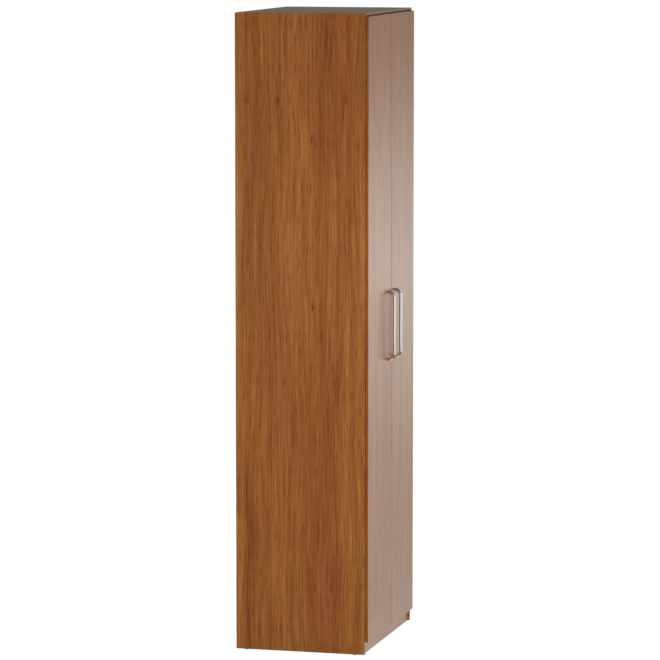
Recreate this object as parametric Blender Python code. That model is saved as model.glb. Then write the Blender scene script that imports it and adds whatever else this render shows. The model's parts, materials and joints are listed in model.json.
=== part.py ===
"""Tall, narrow wardrobe with two doors on concealed hinges, in metres, +Z up.

The origin is on the floor, in the middle of the space that the wardrobe fills with its handles.
The doors are on the -Y side. Each door hangs on four hinges: an arm on the side panel carries a
link, and the link carries the cup that is let into the door.
"""
from math import cos, pi, radians, sin

import bmesh
import bpy
from mathutils import Matrix, Vector

# Carcass
HEIGHT = 2.400
WIDTH = 0.720
DEPTH = 0.500
PANEL = 0.016
CLEAR = 0.0003
TOP_LIP = 0.0072
TOP_SHADOW_DEPTH = 0.009
PLINTH_HEIGHT = 0.060
PLINTH_SETBACK = 0.0064
BACK_SHEET = 0.003
BACK_REBATE = 0.008

# Inside
HAT_SPACE = 0.344
SHELF_SETBACK = 0.020
SHELF_PIN_INSET = 0.060
SHELF_PIN_RADIUS = 0.0025
SHELF_PIN_HEAD_RADIUS = 0.0045
SHELF_PIN_HEAD = 0.007
SHELF_PIN_DEPTH = 0.008
RAIL_RADIUS = 0.0125
RAIL_WALL = 0.0015
RAIL_DROP = 0.055
FLANGE_RADIUS = 0.023
FLANGE_PLATE = 0.004
FLANGE_COLLAR = 0.014
FLANGE_COLLAR_WALL = 0.0025

# Glides
GLIDE_HEAD = 0.002
GLIDE_EDGE = 0.001
GLIDE_PIN_RADIUS = 0.0015
GLIDE_PIN = 0.012
GLIDE_INSET = 0.040

# Doors
DOOR_THICKNESS = 0.010
DOOR_STANDOFF = 0.0016
DOOR_SIDE_REVEAL = 0.0068
DOOR_TOP_REVEAL = 0.0114
DOOR_BOTTOM = 0.049
DOOR_GAP = 0.003

# Handles
HANDLE_PITCH = 0.256
HANDLE_ROD_RADIUS = 0.006
HANDLE_STANDOFF = 0.024
HANDLE_FOOT = 0.004
HANDLE_FROM_CENTRE = 0.050
HANDLE_HEIGHT = 1.211
SCREW_RADIUS = 0.002
SCREW_HEAD_RADIUS = 0.004
SCREW_HEAD = 0.0024
SCREW_GRIP = 0.008

# Hinges
HINGES_PER_DOOR = 4
HINGE_FROM_END = 0.100
CUP_RADIUS = 0.0175
CUP_EDGE = 0.004
CUP_SKIN = 0.0025
CUP_WALL = 0.001
CUP_RIM = 0.0005
CUP_FLANGE = 0.0008
CUP_FLANGE_WIDTH = 0.018
CUP_FLANGE_LENGTH = 0.052
CUP_PIVOT_FROM_WALL = 0.0057
CUP_PIVOT_DEPTH = 0.0013
ARM_PIVOT_FROM_WALL = 0.0088
ARM_FLOOR_GAP = 0.0015
PIVOT_PIN_RADIUS = 0.0012
LINK_HALF_WIDTH = 0.0045
LINK_THICKNESS = 0.002
LINK_BOSS = 0.0019
LUG_LENGTH = 0.0032
LUG_HALF_WIDTH = 0.0025
LUG_COVER = 0.0005
ARM_NOSE = 0.0026
ARM_CHEEK = 0.0017
ARM_HEIGHT = 0.0085
ARM_LENGTH = 0.062
ARM_CRANK_INNER = 0.016
ARM_CRANK_OUTER = 0.024
PLATE_THICKNESS = 0.0029
PLATE_SCREW_LINE = 0.037
PLATE_RIB_LENGTH = 0.038
PLATE_WING_WIDTH = 0.012
PLATE_WING_SPAN = 0.048

ROUND_SIDES = 24
SMALL_SIDES = 12
PIN_SIDES = 8
ROD_ROUNDNESS = 4
BEND_STEPS = 8
SMOOTH_ANGLE = radians(35)

# Places worked out from the sizes above
FRONT_REACH = DOOR_STANDOFF + DOOR_THICKNESS + HANDLE_STANDOFF + HANDLE_ROD_RADIUS
FRONT = -(DEPTH - FRONT_REACH) / 2
BACK = FRONT + DEPTH
DOOR_BACK = FRONT - DOOR_STANDOFF
DOOR_FRONT = DOOR_BACK - DOOR_THICKNESS
DOOR_TOP = HEIGHT - DOOR_TOP_REVEAL
INNER_X = WIDTH / 2 - PANEL
SPAN_X = INNER_X - CLEAR
INNER_BACK = BACK - BACK_SHEET - CLEAR
BOARD_FOOT = GLIDE_HEAD + CLEAR
BOTTOM_FOOT = PLINTH_HEIGHT + CLEAR
BOTTOM_TOP = BOTTOM_FOOT + PANEL
SHELF_TOP = HEIGHT - PANEL - HAT_SPACE
SHELF_FOOT = SHELF_TOP - PANEL
SHELF_FRONT = FRONT + SHELF_SETBACK
SHELF_PIN_HEIGHT = SHELF_FOOT - CLEAR - SHELF_PIN_HEAD_RADIUS
SHELF_PIN_PLACES = (SHELF_FRONT + SHELF_PIN_INSET, INNER_BACK - SHELF_PIN_INSET)
GLIDE_RADIUS = PANEL / 2 - GLIDE_EDGE
GLIDE_PLACES = (FRONT + GLIDE_INSET, BACK - GLIDE_INSET)
RAIL_HEIGHT = SHELF_FOOT - RAIL_DROP
RAIL_PLACE = FRONT + DEPTH / 2
HANDLE_BEND = HANDLE_STANDOFF - HANDLE_FOOT
HANDLE_ENDS = (("upper", HANDLE_HEIGHT + HANDLE_PITCH / 2), ("lower", HANDLE_HEIGHT - HANDLE_PITCH / 2))
CUP_CENTRE_X = WIDTH / 2 - DOOR_SIDE_REVEAL - CUP_EDGE - CUP_RADIUS
CUP_DEPTH = DOOR_THICKNESS - CUP_SKIN
CUP_HOLLOW = CUP_RADIUS - CUP_WALL
CUP_PIVOT_OUT = CUP_HOLLOW - CUP_PIVOT_FROM_WALL
CUP_PIVOT_X = CUP_CENTRE_X + CUP_PIVOT_OUT
CUP_PIVOT_Y = DOOR_BACK - CUP_PIVOT_DEPTH
ARM_PIVOT_X = CUP_CENTRE_X - CUP_HOLLOW + ARM_PIVOT_FROM_WALL
ARM_PIVOT_Y = DOOR_BACK - CUP_DEPTH + CUP_WALL + ARM_FLOOR_GAP + ARM_NOSE
ARM_PIVOT_IN = INNER_X - ARM_PIVOT_X
ARM_PIVOT_FORWARD = FRONT - ARM_PIVOT_Y
HINGE_LOW = DOOR_BOTTOM + HINGE_FROM_END
HINGE_STEP = (DOOR_TOP - HINGE_FROM_END - HINGE_LOW) / (HINGES_PER_DOOR - 1)
HINGE_HEIGHTS = [HINGE_LOW + HINGE_STEP * number for number in range(HINGES_PER_DOOR)]
SIDES = (("left", -1), ("right", 1))


def clear_scene():
    """Start from an empty file."""
    for thing in list(bpy.data.objects):
        bpy.data.objects.remove(thing)


def finish(name, colour, roughness, metallic=0.0):
    """A plain finish: colour, roughness and whether it is metal."""
    made = bpy.data.materials.new(name)
    made.use_nodes = True
    shader = made.node_tree.nodes["Principled BSDF"]
    shader.inputs["Base Color"].default_value = (*colour, 1.0)
    shader.inputs["Roughness"].default_value = roughness
    shader.inputs["Metallic"].default_value = metallic
    return made


def to_mesh(shape, name):
    """Turn an edited shape into a mesh with its faces pointing out."""
    bmesh.ops.recalc_face_normals(shape, faces=shape.faces)
    mesh = bpy.data.meshes.new(name)
    shape.to_mesh(mesh)
    shape.free()
    return mesh


def block(low, high):
    """A box between two corners, given in any order."""
    low, high = Vector(low), Vector(high)
    size = high - low
    shape = bmesh.new()
    place = Matrix.Translation((low + high) / 2) @ Matrix.Diagonal((abs(size.x), abs(size.y), abs(size.z), 1))
    bmesh.ops.create_cube(shape, size=1.0, matrix=place)
    return to_mesh(shape, "block")


def cylinder(start, end, radius, sides=SMALL_SIDES):
    """A round bar from one point to another."""
    start, end = Vector(start), Vector(end)
    along = end - start
    turn = Vector((0, 0, 1)).rotation_difference(along).to_matrix().to_4x4()
    shape = bmesh.new()
    bmesh.ops.create_cone(
        shape,
        cap_ends=True,
        segments=sides,
        radius1=radius,
        radius2=radius,
        depth=along.length,
        matrix=Matrix.Translation((start + end) / 2) @ turn,
    )
    return to_mesh(shape, "cylinder")


def prism(outline, along):
    """A flat outline of 3-D points, drawn out along a vector."""
    shape = bmesh.new()
    face = shape.faces.new([shape.verts.new(point) for point in outline])
    drawn = bmesh.ops.extrude_face_region(shape, geom=[face])
    moved = [item for item in drawn["geom"] if isinstance(item, bmesh.types.BMVert)]
    bmesh.ops.translate(shape, vec=Vector(along), verts=moved)
    return to_mesh(shape, "prism")


def circle(x, z, radius, sides):
    """Points round a circle in the XZ plane."""
    turns = [2 * pi * number / sides for number in range(sides)]
    return [(x + radius * cos(turn), z + radius * sin(turn)) for turn in turns]


def loop(shape, points):
    """The corners and edges of a closed outline."""
    corners = [shape.verts.new(point) for point in points]
    edges = [shape.edges.new(pair) for pair in zip(corners, corners[1:] + corners[:1])]
    return corners, edges


def shaped(base, added=(), cut=()):
    """Join solids to a base solid, then cut others out of it."""
    scene = bpy.context.scene.collection.objects
    work = bpy.data.objects.new("work", base)
    scene.link(work)
    helpers = [work]
    steps = [(mesh, "UNION") for mesh in added] + [(mesh, "DIFFERENCE") for mesh in cut]
    for mesh, operation in steps:
        helper = bpy.data.objects.new("helper", mesh)
        scene.link(helper)
        helpers.append(helper)
        step = work.modifiers.new(operation, "BOOLEAN")
        step.operation = operation
        step.solver = "EXACT"
        step.object = helper
    view = bpy.context.evaluated_depsgraph_get()
    mesh = bpy.data.meshes.new_from_object(work.evaluated_get(view))
    for helper in helpers:
        bpy.data.objects.remove(helper)
    return mesh


def piece(name, mesh, look, parent=None, location=(0, 0, 0), turn=0.0):
    """A named sub-part with its finish; turn is about Y, which swaps a hinge's hand."""
    made = bpy.data.objects.new(name, mesh)
    bpy.context.scene.collection.objects.link(made)
    if not mesh.materials:
        mesh.materials.append(look)
        mesh.shade_smooth()
        mesh.set_sharp_from_angle(angle=SMOOTH_ANGLE)
    made.parent = parent
    made.location = location
    made.rotation_euler = (0, turn, 0)
    return made


def axis(name, place, parent=None):
    """An empty on a joint's axis; place is in world coordinates."""
    made = bpy.data.objects.new(name, None)
    bpy.context.scene.collection.objects.link(made)
    made.parent = parent
    start = parent.location if parent else Vector((0, 0, 0))
    made.location = Vector(place) - start
    return made


def side_panel(sign):
    """A side board with a rebate for the back sheet and holes for glides and shelf pins."""
    outer, inner, rebate = (sign * x for x in (WIDTH / 2, INNER_X, INNER_X + BACK_REBATE))
    rebate_front = BACK - BACK_SHEET - CLEAR
    outline = [
        (outer, FRONT, BOARD_FOOT),
        (inner, FRONT, BOARD_FOOT),
        (inner, rebate_front, BOARD_FOOT),
        (rebate, rebate_front, BOARD_FOOT),
        (rebate, BACK, BOARD_FOOT),
        (outer, BACK, BOARD_FOOT),
    ]
    board = prism(outline, (0, 0, HEIGHT - BOARD_FOOT))
    middle = sign * (INNER_X + PANEL / 2)
    holes = []
    for y in GLIDE_PLACES:
        top = GLIDE_HEAD + GLIDE_PIN + CLEAR
        holes.append(cylinder((middle, y, 0), (middle, y, top), GLIDE_PIN_RADIUS + CLEAR, PIN_SIDES))
    for y in SHELF_PIN_PLACES:
        end = sign * (INNER_X + SHELF_PIN_DEPTH + CLEAR)
        start = sign * (INNER_X - SHELF_PIN_DEPTH)
        hole = cylinder((start, y, SHELF_PIN_HEIGHT), (end, y, SHELF_PIN_HEIGHT), SHELF_PIN_RADIUS + CLEAR)
        holes.append(hole)
    return shaped(board, cut=holes)


def top_panel():
    """The top board, with its lower front edge cut back so that a shadow line runs over the doors."""
    lip_foot = HEIGHT - TOP_LIP
    foot = HEIGHT - PANEL
    shadow = FRONT + TOP_SHADOW_DEPTH
    outline = [
        (-SPAN_X, FRONT, HEIGHT),
        (-SPAN_X, FRONT, lip_foot),
        (-SPAN_X, shadow, lip_foot),
        (-SPAN_X, shadow, foot),
        (-SPAN_X, INNER_BACK, foot),
        (-SPAN_X, INNER_BACK, HEIGHT),
    ]
    return prism(outline, (2 * SPAN_X, 0, 0))


def back_sheet(foot, top):
    """A thin sheet let into the side panels' rebates."""
    half = INNER_X + BACK_REBATE - CLEAR
    return block((-half, BACK - BACK_SHEET, foot), (half, BACK, top))


def shelf_pin(sign, y):
    """A turned pin: its stem goes into the side panel and its head carries the shelf."""
    face = sign * (INNER_X - CLEAR)
    stem = cylinder(
        (sign * (INNER_X - SHELF_PIN_HEAD / 2), y, SHELF_PIN_HEIGHT),
        (sign * (INNER_X + SHELF_PIN_DEPTH), y, SHELF_PIN_HEIGHT),
        SHELF_PIN_RADIUS,
    )
    head = cylinder(
        (face, y, SHELF_PIN_HEIGHT),
        (face - sign * SHELF_PIN_HEAD, y, SHELF_PIN_HEIGHT),
        SHELF_PIN_HEAD_RADIUS,
    )
    return shaped(head, added=[stem])


def glide():
    """A glide: a round foot with a pin that is driven up into the side panel."""
    foot = cylinder((0, 0, 0), (0, 0, GLIDE_HEAD), GLIDE_RADIUS)
    pin = cylinder((0, 0, GLIDE_HEAD / 2), (0, 0, GLIDE_HEAD + GLIDE_PIN), GLIDE_PIN_RADIUS, PIN_SIDES)
    return shaped(foot, added=[pin])


def hanging_rail():
    """A round tube across the wardrobe, with its ends inside the flanges."""
    end = SPAN_X - FLANGE_PLATE - CLEAR
    tube = cylinder((-end, RAIL_PLACE, RAIL_HEIGHT), (end, RAIL_PLACE, RAIL_HEIGHT), RAIL_RADIUS, ROUND_SIDES)
    past = end + PANEL
    bore = cylinder(
        (-past, RAIL_PLACE, RAIL_HEIGHT),
        (past, RAIL_PLACE, RAIL_HEIGHT),
        RAIL_RADIUS - RAIL_WALL,
        ROUND_SIDES,
    )
    return shaped(tube, cut=[bore])


def rail_flange(sign):
    """A round plate on the side panel with a collar that holds the rail's end."""
    wall = sign * SPAN_X
    seat = sign * (SPAN_X - FLANGE_PLATE)
    mouth = sign * (SPAN_X - FLANGE_PLATE - FLANGE_COLLAR)
    bore = RAIL_RADIUS + CLEAR
    middle = (wall + seat) / 2

    def bar(start, end, radius):
        return cylinder((start, RAIL_PLACE, RAIL_HEIGHT), (end, RAIL_PLACE, RAIL_HEIGHT), radius, ROUND_SIDES)

    plate = bar(wall, seat, FLANGE_RADIUS)
    collar = bar(middle, mouth, bore + FLANGE_COLLAR_WALL)
    hollow = bar(seat, mouth - sign * FLANGE_COLLAR, bore)
    return shaped(plate, added=[collar], cut=[hollow])


def door(sign):
    """A door leaf with blind holes for the hinge cups and holes for the handle's screws."""
    inner = sign * DOOR_GAP / 2
    outer = sign * (WIDTH / 2 - DOOR_SIDE_REVEAL)
    edge = [(inner, DOOR_BOTTOM), (outer, DOOR_BOTTOM), (outer, DOOR_TOP), (inner, DOOR_TOP)]
    cup_floor = DOOR_BACK - CUP_DEPTH - CLEAR
    outlines = [(edge, DOOR_FRONT)]
    for z in HINGE_HEIGHTS:
        hole = circle(sign * CUP_CENTRE_X, z, CUP_RADIUS + CLEAR, ROUND_SIDES)
        outlines.append((hole, cup_floor))
    for _, z in HANDLE_ENDS:
        hole = circle(sign * HANDLE_FROM_CENTRE, z, SCREW_RADIUS + CLEAR, SMALL_SIDES)
        outlines.append((hole, DOOR_FRONT))
    shape = bmesh.new()
    front_edges, back_edges = [], []
    for outline, end in outlines:
        back, edges = loop(shape, [(x, DOOR_BACK, z) for x, z in outline])
        back_edges += edges
        far, edges = loop(shape, [(x, end, z) for x, z in outline])
        for number, corner in enumerate(back):
            shape.faces.new((back[number - 1], corner, far[number], far[number - 1]))
        if end == DOOR_FRONT:
            front_edges += edges
        else:
            shape.faces.new(far)
    for edges in (front_edges, back_edges):
        bmesh.ops.triangle_fill(shape, edges=edges, use_beauty=True)
    return to_mesh(shape, "door")


def handle(sign):
    """A bow handle: round rod, bent at both ends, with a hole for a screw in each foot."""
    x = sign * HANDLE_FROM_CENTRE
    foot = DOOR_FRONT - CLEAR
    bar = DOOR_FRONT - HANDLE_STANDOFF
    route = []
    for (_, z), inward in zip(HANDLE_ENDS, (-1, 1)):
        bend = []
        for step in range(BEND_STEPS + 1):
            angle = pi / 2 * step / BEND_STEPS
            y = bar + HANDLE_BEND * (1 - sin(angle))
            bend.append((x, y, z + inward * HANDLE_BEND * (1 - cos(angle))))
        end = [(x, foot, z)] + bend
        route += end if inward < 0 else end[::-1]
    line = bpy.data.curves.new("handle_line", "CURVE")
    line.dimensions = "3D"
    line.bevel_depth = HANDLE_ROD_RADIUS
    line.bevel_resolution = ROD_ROUNDNESS
    line.use_fill_caps = True
    spline = line.splines.new("POLY")
    spline.points.add(len(route) - 1)
    for point, place in zip(spline.points, route):
        point.co = (*place, 1.0)
    rod = bpy.data.objects.new("rod", line)
    bpy.context.scene.collection.objects.link(rod)
    view = bpy.context.evaluated_depsgraph_get()
    mesh = bpy.data.meshes.new_from_object(rod.evaluated_get(view))
    bpy.data.objects.remove(rod)
    holes = []
    for _, z in HANDLE_ENDS:
        end = foot - SCREW_GRIP - CLEAR
        holes.append(cylinder((x, DOOR_BACK, z), (x, end, z), SCREW_RADIUS + CLEAR))
    return shaped(mesh, cut=holes)


def handle_screw(sign, z):
    """A round-headed screw from inside the door into the handle's foot."""
    x = sign * HANDLE_FROM_CENTRE
    seat = DOOR_BACK + CLEAR
    head = cylinder((x, seat, z), (x, seat + SCREW_HEAD, z), SCREW_HEAD_RADIUS)
    tip = DOOR_FRONT - CLEAR - SCREW_GRIP
    shank = cylinder((x, seat + SCREW_HEAD / 2, z), (x, tip, z), SCREW_RADIUS)
    return shaped(head, added=[shank])


def hinge_cup():
    """The cup for the left door, about its own pivot: +X is into the wardrobe."""
    back = CUP_PIVOT_DEPTH
    centre = CUP_PIVOT_OUT
    floor = back - CUP_DEPTH
    flange_foot = back + CLEAR
    flange_top = flange_foot + CUP_FLANGE
    lug_top = PIVOT_PIN_RADIUS + CLEAR + LUG_COVER
    half_width = CUP_FLANGE_WIDTH / 2
    half_length = CUP_FLANGE_LENGTH / 2
    pot = cylinder((centre, floor, 0), (centre, back + CUP_RIM, 0), CUP_RADIUS, ROUND_SIDES)
    flange = block(
        (centre - half_width, flange_foot, -half_length),
        (centre + half_width, flange_top, half_length),
    )
    hollow = cylinder((centre, floor + CUP_WALL, 0), (centre, back + CUP_DEPTH, 0), CUP_HOLLOW, ROUND_SIDES)
    bowl = shaped(pot, added=[flange], cut=[hollow])
    lugs = []
    for way in (-1, 1):
        near = way * (LINK_HALF_WIDTH + CLEAR)
        far = near + way * LUG_LENGTH
        lug = block((-LUG_HALF_WIDTH, floor + CUP_WALL / 2, near), (LUG_HALF_WIDTH, lug_top, far))
        lugs.append(lug)
    pin_hole = cylinder((0, 0, -CUP_RADIUS), (0, 0, CUP_RADIUS), PIVOT_PIN_RADIUS + CLEAR, PIN_SIDES)
    return shaped(bowl, added=lugs, cut=[pin_hole])


def hinge_link():
    """The link for the left door, about its pivot on the arm; a pin stands out of each end."""
    far = Vector((ARM_PIVOT_X - CUP_PIVOT_X, CUP_PIVOT_Y - ARM_PIVOT_Y, 0))
    side = far.normalized().cross(Vector((0, 0, 1))) * LINK_THICKNESS / 2
    half = Vector((0, 0, LINK_HALF_WIDTH))
    web = prism([side - half, far + side - half, far - side - half, -side - half], 2 * half)
    parts = []
    for place, pin in ((Vector((0, 0, 0)), ARM_CHEEK), (far, LUG_LENGTH)):
        reach = half + Vector((0, 0, pin))
        parts.append(cylinder(place - half, place + half, LINK_BOSS))
        parts.append(cylinder(place - reach, place + reach, PIVOT_PIN_RADIUS, PIN_SIDES))
    return shaped(web, added=parts)


def hinge_arm():
    """The arm for the left door, about the pivot in its forked nose."""
    plate_top = -ARM_PIVOT_IN + CLEAR + PLATE_THICKNESS + CLEAR
    arm_top = plate_top + ARM_HEIGHT
    carcass_front = ARM_PIVOT_FORWARD
    back = carcass_front + ARM_LENGTH
    half = LINK_HALF_WIDTH + CLEAR + ARM_CHEEK
    outline = [
        (-ARM_NOSE, carcass_front + ARM_NOSE),
        (plate_top, carcass_front + ARM_CRANK_INNER),
        (plate_top, back),
        (arm_top, back),
        (arm_top + ARM_NOSE, carcass_front + ARM_CRANK_OUTER),
        (ARM_NOSE, carcass_front + ARM_NOSE),
    ]
    for step in range(BEND_STEPS + 1):
        angle = -pi * step / BEND_STEPS
        outline.append((ARM_NOSE * cos(angle), ARM_NOSE * sin(angle)))
    body = prism([(x, y, -half) for x, y in outline], (0, 0, 2 * half))
    slot_half = LINK_HALF_WIDTH + CLEAR
    slot = block((-2 * ARM_NOSE, -2 * ARM_NOSE, -slot_half), (2 * ARM_NOSE, ARM_NOSE, slot_half))
    pin_hole = cylinder((0, 0, -2 * half), (0, 0, 2 * half), PIVOT_PIN_RADIUS + CLEAR, PIN_SIDES)
    return shaped(body, cut=[slot, pin_hole])


def hinge_plate():
    """The cross-shaped mounting plate on the left side panel, about the arm's pivot."""
    face = -ARM_PIVOT_IN + CLEAR
    line = ARM_PIVOT_FORWARD + PLATE_SCREW_LINE
    rib = PLATE_RIB_LENGTH / 2
    wing = PLATE_WING_WIDTH / 2
    rib_half = LINK_HALF_WIDTH + ARM_CHEEK
    span = PLATE_WING_SPAN / 2
    quarter = [(rib, -rib_half), (rib, rib_half), (wing, rib_half), (wing, span)]
    half = quarter + [(-y, z) for y, z in quarter[::-1]]
    outline = half[1:-1] + [(-y, -z) for y, z in half[1:-1]]
    return prism([(face, line + y, z) for y, z in outline], (PLATE_THICKNESS, 0, 0))


def build_carcass(looks):
    """The fixed boards, the rail and the small fittings."""
    for side, sign in SIDES:
        piece(f"{side}_side_panel", side_panel(sign), looks["board"])
        piece(f"{side}_rail_flange", rail_flange(sign), looks["nickel"])
        for row, y in zip(("front", "rear"), SHELF_PIN_PLACES):
            piece(f"{side}_{row}_shelf_pin", shelf_pin(sign, y), looks["nickel"])
    foot = glide()
    for side, sign in SIDES:
        for row, y in zip(("front", "rear"), GLIDE_PLACES):
            place = (sign * (INNER_X + PANEL / 2), y, 0)
            piece(f"{side}_{row}_glide", foot, looks["plastic"], location=place)
    plinth_front = FRONT + PLINTH_SETBACK
    shelf_joint = SHELF_FOOT + PANEL / 2
    plinth = block((-SPAN_X, plinth_front, BOARD_FOOT), (SPAN_X, plinth_front + PANEL, PLINTH_HEIGHT))
    bottom = block((-SPAN_X, FRONT, BOTTOM_FOOT), (SPAN_X, INNER_BACK, BOTTOM_TOP))
    shelf = block((-SPAN_X, SHELF_FRONT, SHELF_FOOT), (SPAN_X, INNER_BACK, SHELF_TOP))
    piece("top_panel", top_panel(), looks["board"])
    piece("plinth", plinth, looks["board"])
    piece("bottom_panel", bottom, looks["board"])
    piece("hat_shelf", shelf, looks["board"])
    piece("back_panel_lower", back_sheet(BOTTOM_FOOT, shelf_joint - CLEAR), looks["sheet"])
    piece("back_panel_upper", back_sheet(shelf_joint, HEIGHT), looks["sheet"])
    piece("hanging_rail", hanging_rail(), looks["chrome"])


def build_doors(looks):
    """The doors with their handles and hinges; each side's links and door turn on their own axes."""
    cup, link, arm, plate = hinge_cup(), hinge_link(), hinge_arm(), hinge_plate()
    for side, sign in SIDES:
        arm_pivot = Vector((sign * ARM_PIVOT_X, ARM_PIVOT_Y, 0))
        cup_pivot = Vector((sign * CUP_PIVOT_X, CUP_PIVOT_Y, 0))
        link_axis = axis(f"{side}_link_axis", arm_pivot)
        door_axis = axis(f"{side}_door_axis", cup_pivot, link_axis)
        hand = 0.0 if sign < 0 else pi
        to_axis = Matrix.Translation(-cup_pivot)
        leaf, grip = door(sign), handle(sign)
        leaf.transform(to_axis)
        grip.transform(to_axis)
        piece(f"{side}_door", leaf, looks["board"], door_axis)
        piece(f"{side}_handle", grip, looks["chrome"], door_axis)
        for end, z in HANDLE_ENDS:
            screw = handle_screw(sign, z)
            screw.transform(to_axis)
            piece(f"{side}_handle_screw_{end}", screw, looks["nickel"], door_axis)
        for number, z in enumerate(HINGE_HEIGHTS, start=1):
            up = Vector((0, 0, z))
            piece(f"{side}_hinge_plate_{number}", plate, looks["nickel"], None, arm_pivot + up, hand)
            piece(f"{side}_hinge_arm_{number}", arm, looks["nickel"], None, arm_pivot + up, hand)
            piece(f"{side}_hinge_link_{number}", link, looks["nickel"], link_axis, up, hand)
            piece(f"{side}_hinge_cup_{number}", cup, looks["nickel"], door_axis, up, hand)


def main():
    clear_scene()
    looks = {
        "board": finish("wood_board", (0.26, 0.10, 0.03), 0.35),
        "sheet": finish("back_sheet", (0.30, 0.17, 0.08), 0.60),
        "chrome": finish("polished_steel", (0.75, 0.75, 0.76), 0.15, 1.0),
        "nickel": finish("nickel_plate", (0.62, 0.60, 0.57), 0.30, 1.0),
        "plastic": finish("dark_plastic", (0.05, 0.05, 0.05), 0.50),
    }
    build_carcass(looks)
    build_doors(looks)


main()
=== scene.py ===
# %% [markdown]
# A tall, narrow wardrobe with two doors, dressed over its fixed frame.
# The frame brings every piece of the wardrobe at its real size and place, in metres, with +Z up and
# the doors on the -Y side. This lesson keeps those places, and makes the pieces again with the eased
# edges, round rods, screws and finishes of the real thing.

# %% Load the frame
import json
import math

import bpy
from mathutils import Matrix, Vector


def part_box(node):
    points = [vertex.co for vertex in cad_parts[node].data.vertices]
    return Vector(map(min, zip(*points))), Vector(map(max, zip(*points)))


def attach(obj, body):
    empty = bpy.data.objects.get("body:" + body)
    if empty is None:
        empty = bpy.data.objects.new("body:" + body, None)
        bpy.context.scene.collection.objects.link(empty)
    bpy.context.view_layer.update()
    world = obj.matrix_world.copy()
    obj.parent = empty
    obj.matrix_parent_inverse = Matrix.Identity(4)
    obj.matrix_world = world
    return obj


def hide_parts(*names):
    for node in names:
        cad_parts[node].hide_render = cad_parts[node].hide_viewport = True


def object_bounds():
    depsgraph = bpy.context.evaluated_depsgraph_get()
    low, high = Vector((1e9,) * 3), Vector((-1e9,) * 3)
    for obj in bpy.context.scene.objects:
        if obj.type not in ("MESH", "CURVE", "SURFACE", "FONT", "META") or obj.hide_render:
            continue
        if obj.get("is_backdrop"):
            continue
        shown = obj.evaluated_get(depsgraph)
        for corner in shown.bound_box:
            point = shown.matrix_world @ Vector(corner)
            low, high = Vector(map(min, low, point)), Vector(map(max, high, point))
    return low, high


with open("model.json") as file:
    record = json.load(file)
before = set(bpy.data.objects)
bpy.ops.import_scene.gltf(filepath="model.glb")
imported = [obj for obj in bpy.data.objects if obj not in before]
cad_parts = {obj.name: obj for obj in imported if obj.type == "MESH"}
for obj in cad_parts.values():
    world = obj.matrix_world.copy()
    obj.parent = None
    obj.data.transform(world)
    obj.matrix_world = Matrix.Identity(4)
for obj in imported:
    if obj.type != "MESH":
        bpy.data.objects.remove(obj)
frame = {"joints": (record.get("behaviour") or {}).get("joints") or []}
cad_low, cad_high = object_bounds()
SIDES = ("left", "right")
print("box:", cad_low, cad_high)

# %% [markdown]
# The camera comes first, because everything else is judged through it.
# The wardrobe is seen from far away with a long lens, from the left and a little above: nearly the
# whole picture is the left side board, and the doors are seen at a slant. An aimed empty would do as
# well, but a camera that is turned by its two viewing angles says plainly where it stands.

# %% Camera
CAMERA_PLACE = (-13.936, -3.7113, 2.8688)
CAMERA_AZIMUTH = math.radians(-75.085)
CAMERA_ELEVATION = math.radians(6.673)
LENS_MM = 207.42
SENSOR_MM = 36.0
SIGHT = 200.0  # how far the camera sees


def clear_selection():
    """Deselect everything, because an operator acts on all that is selected."""
    bpy.ops.object.select_all(action="DESELECT")


clear_selection()
camera_turn = (math.pi / 2 - CAMERA_ELEVATION, 0, CAMERA_AZIMUTH)
bpy.ops.object.camera_add(location=CAMERA_PLACE, rotation=camera_turn)
camera = bpy.context.active_object
camera.data.lens = LENS_MM
camera.data.sensor_width = SENSOR_MM
camera.data.clip_end = SIGHT
bpy.context.scene.camera = camera
print("camera at", CAMERA_PLACE)

# %% [markdown]
# Finishes are node trees, and the same few moves come back in each: add a node, feed its sockets,
# start a new material. A few small helpers keep the finishes short enough to read.

# %% Helpers for node trees
MIX_SHARE, MIX_FIRST, MIX_SECOND, MIX_RESULT = 0, 6, 7, 2  # a Mix node's sockets for colours


def feed(tree, socket, source):
    """Give a socket a link, or a plain value."""
    if isinstance(source, bpy.types.NodeSocket):
        tree.links.new(source, socket)
    else:
        socket.default_value = source


def node(tree, kind, sockets=None, **settings):
    """A new node with its settings, and with links or plain values on its sockets."""
    made = tree.nodes.new(kind)
    for name, value in settings.items():
        setattr(made, name, value)
    for socket, source in (sockets or {}).items():
        feed(tree, made.inputs[socket], source)
    return made


def new_finish(name, **sockets):
    """A material with a Principled shader, and even values on the shader's own sockets."""
    made = bpy.data.materials.new(name)
    made.use_nodes = True
    shader = made.node_tree.nodes["Principled BSDF"]
    for socket, value in sockets.items():
        shader.inputs[socket.replace("_", " ")].default_value = value
    return made, made.node_tree, shader


def maths(tree, operation, *sources):
    """One step of arithmetic on sockets or numbers."""
    return node(tree, "ShaderNodeMath", dict(enumerate(sources)), operation=operation).outputs["Value"]


def ramp(tree, source, *stops):
    """A colour ramp with (place, colour) stops."""
    made = node(tree, "ShaderNodeValToRGB", {"Fac": source})
    points = made.color_ramp.elements
    while len(points) < len(stops):
        points.new(1.0)
    for point, (place, colour) in zip(points, stops):
        point.position = place
        point.color = (*colour, 1.0)
    return made.outputs["Color"]


def mixed(tree, share, first, second, how="MIX"):
    """Two colours put together, by a share of the second one."""
    sockets = {MIX_SHARE: share, MIX_FIRST: first, MIX_SECOND: second}
    return node(tree, "ShaderNodeMix", sockets, data_type="RGBA", blend_type=how).outputs[MIX_RESULT]


def object_axes(tree):
    """X, Y and Z in the piece's own frame, in metres."""
    place = node(tree, "ShaderNodeTexCoord").outputs["Object"]
    return node(tree, "ShaderNodeSeparateXYZ", {"Vector": place}).outputs


print("node helpers ready")

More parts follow.
